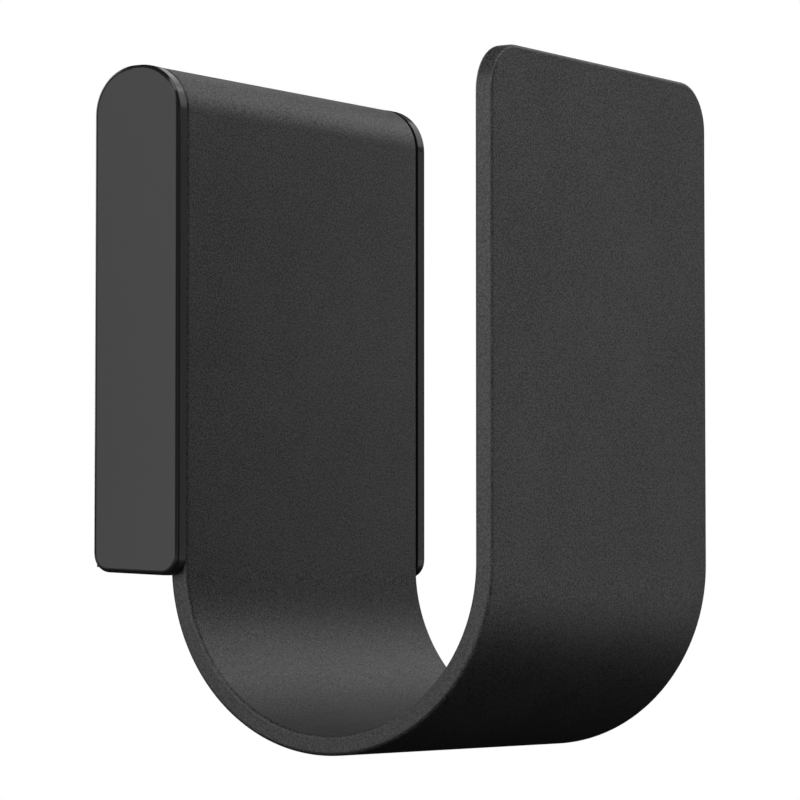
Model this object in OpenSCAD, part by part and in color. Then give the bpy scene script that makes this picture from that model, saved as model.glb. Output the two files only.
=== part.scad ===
// Wall holder for a charging connector or a cable: a flat strip bent into a
// deep open cradle, hung by its folded top on a moulded wall bracket.
// Millimetres. X is to the right, -Y is the front, +Z is up.
// The wall is the plane y = 0. The origin is midway between the wall screws.

/* [Strip] */
// Width of the flat strip
strip_w = 90.6; // [60:0.1:140]
// Thickness of the strip
strip_t = 4.2; // [3:0.1:4.5]
// Rounding of the strip's four long edges and of its ends
strip_edge_r = 0.8; // [0.2:0.05:1.2]

/* [Cradle] */
// Free gap between the front lip and the back leg
cradle_gap = 71; // [40:0.2:120]
// Height of the strip from the bottom of the cradle to the top of its fold
hook_h = 145.4; // [130:0.1:200]
// Height of the front lip above the bottom of the cradle
lip_h = 144.9; // [80:0.1:190]
// Radius of the two top corners of the lip
lip_corner_r = 10; // [3:0.5:30]

/* [Fold over the bracket] */
// Gap between the rear leg and the wall
wall_gap = 1.9; // [0.5:0.1:4]
// Straight length of the rear leg below the fold
rear_leg = 16; // [8:1:18]
// Radius of the two corners at the end of the rear leg
rear_corner_r = 3; // [1:0.5:6]
// How far the strip lies below the rims of the cheeks
strip_set = 0.1; // [0:0.05:0.5]

/* [Bracket cheeks] */
// Depth of the bracket from the wall
bracket_d = 22; // [21:0.5:30]
// Height of a cheek at the wall
cheek_h = 107.5; // [98:0.5:125]
// Thickness of a cheek
cheek_t = 3.3; // [2:0.1:5]
// Gap between the strip and each cheek
side_gap = 0.4; // [0.3:0.1:3]
// Radius of the top corners of a cheek
cheek_top_r = 10.2; // [6:0.2:10.4]
// Radius of the bottom corners of a cheek
cheek_foot_r = 4; // [2:0.5:8]
// Slope of the bottom edge, lower at the front, in degrees
foot_slope = 2.75; // [0:0.25:6]
// How far the foot lies inside the cheek's own faces where the two join
foot_set = 0.02; // [0.01:0.01:0.1]
// Rounding along the outside edge of a cheek
cheek_edge_r = 1; // [0.3:0.05:1.5]

/* [Bracket core] */
// Clearance between the core and the legs of the strip
core_gap = 0.3; // [0.1:0.05:0.6]
// Thickness of the front skin and of the floor
skin_t = 2.5; // [2:0.25:4]
// Thickness of the ribs
rib_t = 2; // [1.5:0.25:3]
// Share of the half width between neighbouring upright ribs
rib_share = 0.34; // [0.3:0.01:0.4]
// Space below the rear leg
rear_gap = 1.5; // [0.5:0.5:4]
// Height of the floor above the foot of the cheeks
floor_rise = 1; // [0.5:0.25:3]

/* [Wall screws] */
// Distance between the two screws, one above the other
screw_spacing = 45; // [36:1:48]
// Height of the bracket's top above the middle of the screws
screw_drop = 66.5; // [64:0.5:68]
// Diameter of the screw holes
screw_hole_d = 5.5; // [4.5:0.1:6.5]
// Diameter of the pockets for the screw heads
screw_head_d = 11; // [9:0.5:13]
// Diameter of the bosses round the screws
boss_d = 16; // [15:0.5:18]
// Thickness of the boss under a screw head
flange_t = 6; // [4:0.5:10]

/* [Hidden] */
$fn = 72;
EDGE_FN = 20;
// Heights
top_z = screw_drop;
strip_top_z = top_z - strip_set;
out_r = cradle_gap / 2 + strip_t;
bottom_z = strip_top_z - hook_h;
bend_z = bottom_z + out_r;
lip_z = bottom_z + lip_h;
foot_z = top_z - cheek_h;
// Depths from the wall, along -Y
back_leg_d = bracket_d - strip_set - strip_t / 2;
bend_d = back_leg_d + strip_t / 2 + cradle_gap / 2;
lip_d = bend_d + cradle_gap / 2 + strip_t / 2;
fold_out_r = (bracket_d - strip_set - wall_gap) / 2;
fold_r = fold_out_r - strip_t;
fold_d = bracket_d - strip_set - fold_out_r;
fold_z = strip_top_z - fold_out_r;
rear_leg_d = fold_d - fold_r - strip_t / 2;
rear_end_z = fold_z - rear_leg;
core_front_d = fold_d + fold_r - core_gap;
core_rear_d = fold_d - fold_r + core_gap;
// Cheek corners
arch_z = top_z - cheek_top_r;
slope_tan = tan(foot_slope);
foot_in = cheek_foot_r / cos(foot_slope);
foot_wall_z = foot_z + foot_in - cheek_foot_r * slope_tan;
foot_front_z = foot_z + foot_in - (bracket_d - cheek_foot_r) * slope_tan;
foot_len = (bracket_d - 2 * cheek_foot_r) / cos(foot_slope);
inner_x = strip_w / 2 + side_gap;
// Core levels
floor_z = foot_z + floor_rise;
ledge_z = rear_end_z - rear_gap;
core_w = 2 * inner_x + cheek_t;

// Strip

// Cross section of the strip, rounded at its four corners
module strip_section() {
  square([strip_w - 2 * strip_edge_r, strip_t], center = true);
  square([strip_w, strip_t - 2 * strip_edge_r], center = true);
  for (sx = [-1, 1], sy = [-1, 1])
    translate([sx * (strip_w / 2 - strip_edge_r), sy * (strip_t / 2 - strip_edge_r)])
      circle(r = strip_edge_r, $fn = EDGE_FN);
}

// A straight leg between two heights, at a depth from the wall
module leg(d, z0, z1) {
  translate([0, -d, z0])
    linear_extrude(height = z1 - z0)
      strip_section();
}

// Half a turn of the strip round an axis along X, below or above it
module bend(d, z, mid_r, below) {
  translate([0, -d, z])
    rotate([0, 90, 0])
      rotate([0, 0, below ? -90 : 90])
        rotate_extrude(angle = 180)
          translate([mid_r, 0])
            rotate(90)
              strip_section();
}

// Section through an end of the strip, rounded at the outer end
module end_section(r) {
  translate([0, -strip_t / 2])
    square([r - strip_edge_r, strip_t]);
  translate([0, -strip_t / 2 + strip_edge_r])
    square([r, strip_t - 2 * strip_edge_r]);
  for (s = [-1, 1])
    translate([r - strip_edge_r, s * (strip_t / 2 - strip_edge_r)])
      circle(r = strip_edge_r, $fn = EDGE_FN);
}

// End of a leg with two round corners, pointing up from z = 0
module leg_end(r) {
  rotate([0, -90, 0])
    linear_extrude(height = strip_w - 2 * r, center = true)
      end_section(r);
  translate([strip_w / 2 - r, 0, 0])
    rotate([90, 0, 0])
      rotate_extrude(angle = 90)
        end_section(r);
  translate([-strip_w / 2 + r, 0, 0])
    rotate([90, 0, 0])
      rotate([0, 0, 90])
        rotate_extrude(angle = 90)
          end_section(r);
}

module hook_strip() {
  color([0.05, 0.05, 0.051])
    union() {
      translate([0, -rear_leg_d, rear_end_z + rear_corner_r])
        rotate([0, 180, 0])
          leg_end(rear_corner_r);
      leg(rear_leg_d, rear_end_z + rear_corner_r, fold_z);
      bend(fold_d, fold_z, fold_r + strip_t / 2, false);
      leg(back_leg_d, bend_z, fold_z);
      bend(bend_d, bend_z, cradle_gap / 2 + strip_t / 2, true);
      leg(lip_d, bend_z, lip_z - lip_corner_r);
      translate([0, -lip_d, lip_z - lip_corner_r])
        leg_end(lip_corner_r);
    }
}

// Bracket

// Section through a rim, rounded on the outside
module rim_section(b, t) {
  square([b - cheek_edge_r, t]);
  square([b, t - cheek_edge_r]);
  translate([b - cheek_edge_r, t - cheek_edge_r])
    circle(r = cheek_edge_r, $fn = EDGE_FN);
}

// Quarter-round top corner of a cheek, starting at a direction
module cheek_corner(d, from) {
  translate([-d, arch_z, 0])
    rotate([0, 0, from])
      rotate_extrude(angle = 90)
        rim_section(cheek_top_r, cheek_t);
}

// Straight edge that faces a direction
module rim_edge(facing, b, t, len) {
  rotate([0, 0, facing])
    rotate([90, 0, 0])
      linear_extrude(height = len)
        rim_section(b, t);
}

// Sloped foot of a cheek: two round corners and the edge between them
module cheek_foot() {
  r = cheek_foot_r - foot_set;
  t = cheek_t - 2 * foot_set;
  translate([-cheek_foot_r, foot_wall_z, foot_set])
    rotate([0, 0, foot_slope]) {
      for (x = [0, -foot_len])
        translate([x, 0, 0])
          rotate_extrude()
            rim_section(r, t);
      rim_edge(270, r, t, foot_len);
      translate([-foot_len, 0, 0])
        cube([foot_len, r, t]);
    }
}

// One cheek on the right-hand side
module cheek() {
  wall_d = cheek_foot_r;
  front_d = bracket_d - cheek_foot_r;
  translate([inner_x, 0, 0])
    rotate([90, 0, 90]) {
      cheek_corner(cheek_top_r, 0);
      cheek_corner(bracket_d - cheek_top_r, 90);
      translate([-bracket_d + cheek_top_r, arch_z, 0])
        rim_edge(90, cheek_top_r, cheek_t, bracket_d - 2 * cheek_top_r);
      translate([-front_d, foot_front_z, 0])
        rim_edge(180, cheek_foot_r, cheek_t, arch_z - foot_front_z);
      translate([-wall_d, arch_z, 0])
        rim_edge(0, cheek_foot_r, cheek_t, arch_z - foot_wall_z);
      linear_extrude(height = cheek_t)
        polygon([[-wall_d, foot_wall_z], [-wall_d, arch_z],
                 [-front_d, arch_z], [-front_d, foot_front_z]]);
      cheek_foot();
    }
}

// A block that spans the core between the cheeks
module span(d0, d1, z0, z1) {
  translate([-core_w / 2, -d1, z0])
    cube([core_w, d1 - d0, z1 - z0]);
}

// An upright rib
module rib(x, d0, z0, z1) {
  translate([x - rib_t / 2, -core_front_d + skin_t / 2, z0])
    cube([rib_t, core_front_d - skin_t / 2 - d0, z1 - z0]);
}

// Round head that fills the fold and carries the strip
module head() {
  intersection() {
    translate([0, -fold_d, fold_z])
      rotate([0, 90, 0])
        cylinder(r = fold_r, h = core_w, center = true);
    span(fold_d - fold_out_r, fold_d + fold_out_r, fold_z, strip_top_z);
  }
}

module wall_bracket() {
  color([0.02, 0.02, 0.0205])
    difference() {
      union() {
        cheek();
        mirror([1, 0, 0])
          cheek();
        head();
        span(core_front_d - skin_t, core_front_d, floor_z, fold_z + core_gap);
        span(0, core_front_d, floor_z, floor_z + skin_t);
        span(0, core_front_d, ledge_z - rib_t, ledge_z);
        for (s = [-1, 1])
          span(0, core_front_d, s * screw_spacing / 2 - rib_t / 2, s * screw_spacing / 2 + rib_t / 2);
        for (s = [-2, -1, 1, 2]) {
          rib(s * rib_share * inner_x, 0, floor_z, ledge_z);
          rib(s * rib_share * inner_x, core_rear_d, ledge_z - rib_t, fold_z + core_gap);
        }
        for (s = [-1, 1])
          translate([0, 0, s * screw_spacing / 2])
            rotate([90, 0, 0])
              cylinder(d = boss_d, h = core_front_d);
      }
      for (s = [-1, 1])
        translate([0, 0, s * screw_spacing / 2])
          rotate([90, 0, 0]) {
            translate([0, 0, -flange_t])
              cylinder(d = screw_hole_d, h = core_front_d + 2 * flange_t);
            translate([0, 0, flange_t])
              cylinder(d = screw_head_d, h = core_front_d);
          }
    }
}

hook_strip();
wall_bracket();
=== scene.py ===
import math

import bpy
from mathutils import Matrix, Vector


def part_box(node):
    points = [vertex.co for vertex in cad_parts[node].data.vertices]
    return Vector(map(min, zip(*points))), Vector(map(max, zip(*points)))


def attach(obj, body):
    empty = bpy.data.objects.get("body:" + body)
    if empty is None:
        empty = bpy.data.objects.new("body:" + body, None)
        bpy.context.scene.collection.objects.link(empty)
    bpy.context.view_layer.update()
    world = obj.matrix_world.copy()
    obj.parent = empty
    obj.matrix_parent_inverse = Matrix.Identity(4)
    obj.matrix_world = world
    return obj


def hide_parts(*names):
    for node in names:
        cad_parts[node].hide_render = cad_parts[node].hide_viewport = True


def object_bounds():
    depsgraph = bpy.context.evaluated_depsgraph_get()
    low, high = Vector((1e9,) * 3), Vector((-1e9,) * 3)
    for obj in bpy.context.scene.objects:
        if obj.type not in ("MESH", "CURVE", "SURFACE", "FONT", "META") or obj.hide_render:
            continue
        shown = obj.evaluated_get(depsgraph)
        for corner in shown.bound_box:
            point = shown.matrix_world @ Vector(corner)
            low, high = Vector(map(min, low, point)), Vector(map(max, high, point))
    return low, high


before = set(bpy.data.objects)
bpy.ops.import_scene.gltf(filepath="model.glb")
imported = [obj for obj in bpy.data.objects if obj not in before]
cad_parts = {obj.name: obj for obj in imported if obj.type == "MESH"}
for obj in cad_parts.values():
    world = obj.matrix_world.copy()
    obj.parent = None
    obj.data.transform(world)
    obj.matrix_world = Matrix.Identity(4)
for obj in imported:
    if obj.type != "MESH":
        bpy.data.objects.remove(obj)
cad_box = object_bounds()


# Wall bracket: one dark plastic moulding with two round-topped cheeks and a ribbed core between them.
# It is screwed to the wall through its two bosses and carries the strip on its round head.
# The cheeks come out of a finely etched tool, so they are smooth and satin with faint flow marks.

class Wire:
    """A shader socket that takes part in Python sums; each sum adds a Math node."""

    def __init__(self, tree, socket=None):
        self.tree = tree
        self.socket = socket

    def add(self, kind, settings=None, out=0, **sockets):
        """Adds a node: its settings first, then the values or links of its sockets by name or number."""
        node = self.tree.nodes.new("ShaderNode" + kind)
        for name, value in (settings or {}).items():
            setattr(node, name, value)
        for name, value in sockets.items():
            socket = node.inputs[int(name[1:]) if name[1:].isdigit() else name.replace("_", " ")]
            if isinstance(value, Wire):
                self.tree.links.new(value.socket, socket)
            else:
                socket.default_value = value
        return Wire(self.tree, node.outputs[out] if len(node.outputs) else None)

    def maths(self, operation, a, b):
        return self.add("Math", {"operation": operation}, i0=a, i1=b)

    def __add__(self, other):
        return self.maths("ADD", self, other)

    def __mul__(self, other):
        return self.maths("MULTIPLY", self, other)

    def __rsub__(self, other):
        return self.maths("SUBTRACT", other, self)

    __radd__ = __add__
    __rmul__ = __mul__

    def blend(self, dark, light):
        """A grey between two greys, by this value."""
        ends = [(tone, tone, tone * 1.02, 1) for tone in (dark, light)]
        return self.add("Mix", {"data_type": "RGBA"}, out=2, i0=self, i6=ends[0], i7=ends[1])

    def noise(self, scale, detail, roughness):
        return self.add("TexNoise", Vector=self, Scale=scale, Detail=detail, Roughness=roughness)


def new_finish(name):
    """A new empty material, and the wire from the piece's own coordinates that its nodes start at."""
    made = bpy.data.materials.new(name)
    made.use_nodes = True
    made.node_tree.nodes.clear()
    return made, Wire(made.node_tree).add("TexCoord", out="Object")


satin_plastic, place = new_finish("satin_plastic")
etch = place.noise(5200, 2, 0.6)
flow = place.noise(55, 3, 0.5)
texture = place.add("Bump", Height=etch, Strength=0.08, Distance=0.00005)
surface = place.add("BsdfPrincipled", Base_Color=flow.blend(0.017, 0.023), Specular_IOR_Level=0.45,
                    Roughness=0.12 + 0.04 * flow + 0.04 * etch, Normal=texture)
place.add("OutputMaterial", Surface=surface)

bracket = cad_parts["wall_bracket"]
bracket.data.materials.clear()
bracket.data.materials.append(satin_plastic)


# Hook strip: one flat metal blank with rounded corners, bent twice and then powder coated near black.
# Its short rear leg and fold hang over the bracket's head; the wide bend below is the cradle, and
# the front lip stands up free. The coat is matt with a fine sandy texture and softens the cut edges.

low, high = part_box("hook_strip")
strip_w = high[0] - low[0]
strip_t = 0.0042
edge_r = 0.0008
lip_corner_r = 0.010
rear_corner_r = 0.003
rear_leg = 0.016
lip_leg = 0.1052
fold_out_r = 0.010
cradle_in_r = 0.0355
fold_r = fold_out_r - strip_t / 2
cradle_r = cradle_in_r + strip_t / 2
rear_y = high[1] - strip_t / 2
back_y = rear_y - 2 * fold_r
lip_y = low[1] + strip_t / 2
fold_z = high[2] - strip_t / 2 - fold_r
bend_z = low[2] + strip_t / 2 + cradle_r
runs = [rear_leg, math.pi * fold_r, fold_z - bend_z, math.pi * cradle_r, lip_leg]
marks = [sum(runs[:i]) for i in range(6)]
blank_l = marks[5]


def bent(s, n):
    """Where a point of the flat blank goes: s along it from the rear end, n out of its outer face."""
    if s <= marks[1]:
        return rear_y + n, fold_z - marks[1] + s, 1.0, 0.0
    if s <= marks[2]:
        turn = (s - marks[1]) / fold_r
        out = math.cos(turn), math.sin(turn)
        return (rear_y + back_y) / 2 + (fold_r + n) * out[0], fold_z + (fold_r + n) * out[1], *out
    if s <= marks[3]:
        return back_y - n, fold_z + marks[2] - s, -1.0, 0.0
    if s <= marks[4]:
        turn = (s - marks[3]) / cradle_r
        out = -math.cos(turn), math.sin(turn)
        return (back_y + lip_y) / 2 - (cradle_r - n) * out[0], bend_z - (cradle_r - n) * out[1], *out
    return lip_y + n, bend_z + s - marks[4], 1.0, 0.0


# Half the flat blank's outline inside its rounded edge: half width, place along the blank, way out
corner_steps = 12
corner_turns = [math.radians(90 * i / corner_steps) for i in range(corner_steps + 1)]
rear_in = rear_corner_r - edge_r
lip_in = lip_corner_r - edge_r
half = [(strip_w / 2 - rear_corner_r + rear_in * math.sin(a), rear_corner_r - rear_in * math.cos(a),
         math.sin(a), -math.cos(a)) for a in corner_turns]
stops = [rear_corner_r, *marks[1:5], blank_l - lip_corner_r]
run_steps = (4, 40, 24, 96, 24)
for start, end, steps in zip(stops, stops[1:], run_steps):
    half += [(strip_w / 2 - edge_r, start + (end - start) * i / steps, 1.0, 0.0) for i in range(1, steps)]
    half.append((strip_w / 2 - edge_r, end, 1.0, 0.0))
half.pop()
half += [(strip_w / 2 - lip_corner_r + lip_in * math.cos(a), blank_l - lip_corner_r + lip_in * math.sin(a),
          math.cos(a), math.sin(a)) for a in corner_turns]

columns = 24
points, normals, faces = [], [], []


def put(x, s, n, way_x, way_s, way_n):
    """Adds a bent point with its normal, both given on the flat blank."""
    y, z, out_y, out_z = bent(s, n)
    points.append((x, y, z))
    normals.append((way_x, way_n * out_y - way_s * out_z, way_n * out_z + way_s * out_y))
    return len(points) - 1


rims = []
for side in (1, -1):
    sheet = [[put(w * (2 * j / columns - 1), s, side * strip_t / 2, 0, 0, side) for j in range(columns + 1)]
             for w, s, _, _ in half]
    for a, b in zip(sheet, sheet[1:]):
        faces += [(b[j], b[j + side], a[j + side], a[j])
                  for j in range(columns + 1) if 0 <= j + side <= columns]
    rims.append(sheet[0][:-1] + [row[-1] for row in sheet]
                + sheet[-1][-2:0:-1] + [row[0] for row in sheet[:0:-1]])
ends = [(half[0][0] * (2 * j / columns - 1), half[0][1], 0.0, -1.0) for j in range(columns)]
tops = [(half[-1][0] * (2 * j / columns - 1), half[-1][1], 0.0, 1.0) for j in range(columns - 1, 0, -1)]
outline = ends + half + tops + [(-x, s, -way_x, way_s) for x, s, way_x, way_s in half[:0:-1]]
rings = [rims[0]]
flat = strip_t / 2 - edge_r
outer_turns = (75, 60, 45, 30, 15, 0)
inner_turns = (0, -15, -30, -45, -60, -75)
for turn, level in [(turn, flat) for turn in outer_turns] + [(turn, -flat) for turn in inner_turns]:
    c, n = math.cos(math.radians(turn)), math.sin(math.radians(turn))
    rings.append([put(x + edge_r * c * way_x, s + edge_r * c * way_s, level + edge_r * n,
                      c * way_x, c * way_s, n) for x, s, way_x, way_s in outline])
rings.append(rims[1])
for a, b in zip(rings, rings[1:]):
    faces += [(a[i - 1], a[i], b[i], b[i - 1]) for i in range(len(outline))]
mesh = bpy.data.meshes.new("hook_strip_coated")
mesh.from_pydata(points, [], faces)
mesh.polygons.foreach_set("use_smooth", [True] * len(mesh.polygons))
mesh.normals_split_custom_set_from_vertices(normals)
strip = bpy.data.objects.new("hook_strip_coated", mesh)
bpy.context.scene.collection.objects.link(strip)

# The coat's grit is weaker on the cut edges, which look sideways; its pale specks are its smooth ones
powder_coat, place = new_finish("powder_coat")
sand = place.noise(2700, 3, 0.65)
peel = place.noise(420, 2, 0.5)
cloud = place.noise(38, 3, 0.55)
sideways = place.add("VectorMath", {"operation": "DOT_PRODUCT"}, out=1,
                     i0=place.add("TexCoord", out="Normal"), i1=(1, 0, 0))
grit = 1 - 0.65 * (sideways * sideways)
mottle = grit * (0.92 * sand + 0.08 * cloud + -0.5)
speck = place.add("MapRange", Value=mottle, From_Min=-0.06, From_Max=0.06)
relief = place.add("Bump", Height=grit * (0.8 * sand + 0.2 * peel), Strength=0.35, Distance=0.0002)
surface = place.add("BsdfPrincipled", Base_Color=speck.blend(0.008, 0.092), Specular_IOR_Level=0.5,
                    Roughness=0.55 - 0.3 * sand, Normal=relief)
place.add("OutputMaterial", Surface=surface)
mesh.materials.append(powder_coat)
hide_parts("hook_strip")
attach(strip, "root")


# Studio: a floor a little below the hanging part, a surround, nine soft boxes and the camera.
# The camera sees floor and surround white. Other rays meet a dark cloth below and behind the part, a grey
# floor in front of it and, in mirrors only, a faint patch of the surround high up on the right behind.

floor_drop = 0.045
floor_z = low[2] - floor_drop
reach = 6.0
corners = [(-reach, -reach), (reach, -reach), (reach, reach), (-reach, reach)]
mesh = bpy.data.meshes.new("floor")
mesh.from_pydata([(x, y, floor_z) for x, y in corners], [], [(0, 1, 2, 3)])
floor = bpy.data.objects.new("floor", mesh)
bpy.context.scene.collection.objects.link(floor)
to_camera = (-0.84, -0.53, 0.05)
pale_floor, place = new_finish("pale_floor")
seen = place.add("LightPath", out="Is Camera Ray") + place.add("LightPath", out="Is Transmission Ray")
away = place.add("VectorMath", {"operation": "LENGTH"}, out=1, i0=place)
far = place.add("MapRange", {"interpolation_type": "SMOOTHSTEP"}, Value=away, From_Min=0.2, From_Max=0.46)
way = place.add("VectorMath", {"operation": "NORMALIZE"}, i0=place)
facing = place.add("VectorMath", {"operation": "DOT_PRODUCT"}, out=1, i0=way, i1=to_camera)
front = place.add("MapRange", {"interpolation_type": "SMOOTHSTEP"}, Value=facing,
                  From_Min=-0.8, From_Max=-0.4)
near_side = place.add("BsdfPrincipled", Base_Color=seen.blend(0.015, 0.9), Roughness=0.9,
                      Specular_IOR_Level=0.0)
glow = seen + (1 - seen) * (0.55 * front)
far_side = place.add("Emission", Color=glow.blend(0, 1), Strength=1.0)
place.add("OutputMaterial", Surface=place.add("MixShader", i0=far, i1=near_side, i2=far_side))
floor.data.materials.append(pale_floor)

surround = bpy.data.worlds.new("surround")
surround.use_nodes = True
surround.node_tree.nodes.clear()
bpy.context.scene.world = surround
place = Wire(surround.node_tree).add("TexCoord", out="Generated")
camera_ray = place.add("LightPath", out="Is Camera Ray")
mirror_ray = place.add("LightPath", out="Is Glossy Ray") + place.add("LightPath", out="Is Transmission Ray")
high_right_behind = (0.835, 0.193, 0.515)
towards = place.add("VectorMath", {"operation": "DOT_PRODUCT"}, out=1, i0=place, i1=high_right_behind)
behind = place.add("MapRange", {"interpolation_type": "SMOOTHSTEP"}, Value=towards,
                   From_Min=0.93, From_Max=0.99)
level = camera_ray + (1 - camera_ray) * (0.12 * mirror_ray * behind)
place.add("OutputWorld", Surface=place.add("Background", Color=level.blend(0, 1), Strength=1.0))

middle = (Vector(cad_box[0]) + Vector(cad_box[1])) / 2
box_away = 1.1


def soft_box(name, aim, way, along, wide, tall, radiance):
    """A soft box that looks at a point from the way given; its wide side runs along the other way."""
    lamp = bpy.data.lights.new(name, "AREA")
    lamp.shape = "RECTANGLE"
    lamp.size = wide
    lamp.size_y = tall
    lamp.energy = radiance * math.pi * wide * tall
    side = along.cross(way).normalized()
    box = bpy.data.objects.new(name, lamp)
    box.matrix_world = Matrix((side.cross(way), side, way)).transposed().to_4x4()
    box.location = aim + box_away * way
    bpy.context.scene.collection.objects.link(box)


# The large boxes: how far round the part from the front to the right, how high up, size and radiance
large_boxes = (("left_box", 258, 14, 1.2, 0.9, 1.46),
               ("high_left_box", 292, 38, 0.8, 0.5, 1.3),
               ("key_box", 10, 60, 1.3, 0.5, 2.0),
               ("right_box", 74, 27, 0.8, 0.42, 1.05),
               ("front_box", 28, 3, 2.2, 0.44, 0.33),
               ("back_box", 172, 22, 1.1, 0.8, 1.8))
for name, round_deg, up_deg, wide, tall, radiance in large_boxes:
    a, e = math.radians(round_deg), math.radians(up_deg)
    way = Vector((math.sin(a) * math.cos(e), -math.cos(a) * math.cos(e), math.sin(e)))
    soft_box(name, middle, way, Vector((math.cos(a), math.sin(a), 0)), wide, tall, radiance)

# Three narrow boxes on an arc to the right, which draw the bright line on the near cheek's round rim
near_rim = Vector((cad_box[0][0], -0.012, 0.06))
rim_box_l = 0.33
rim_box_w = 0.14
for turn_deg, radiance in ((52, 0.8), (80, 1.3), (108, 1.1)):
    a = math.radians(turn_deg)
    way = Vector((0.8, 0.6 * math.cos(a), 0.6 * math.sin(a)))
    along = Vector((0, -math.sin(a), math.cos(a)))
    soft_box("rim_box", near_rim, way, along, rim_box_l, rim_box_w, radiance)

# The camera stands to the left in front with a long lens, a little below the part's middle
camera = bpy.data.objects.new("camera", bpy.data.cameras.new("camera"))
camera.data.sensor_width = 36.0
camera.data.lens = 182.285
camera.data.clip_end = 50.0
camera.location = (-0.739158, -0.518206, -0.048424)
camera.rotation_euler = (math.radians(90 + 2.922), 0, math.radians(-57.4389))
bpy.context.scene.collection.objects.link(camera)
bpy.context.scene.camera = camera
bpy.context.scene.view_settings.view_transform = "Standard"
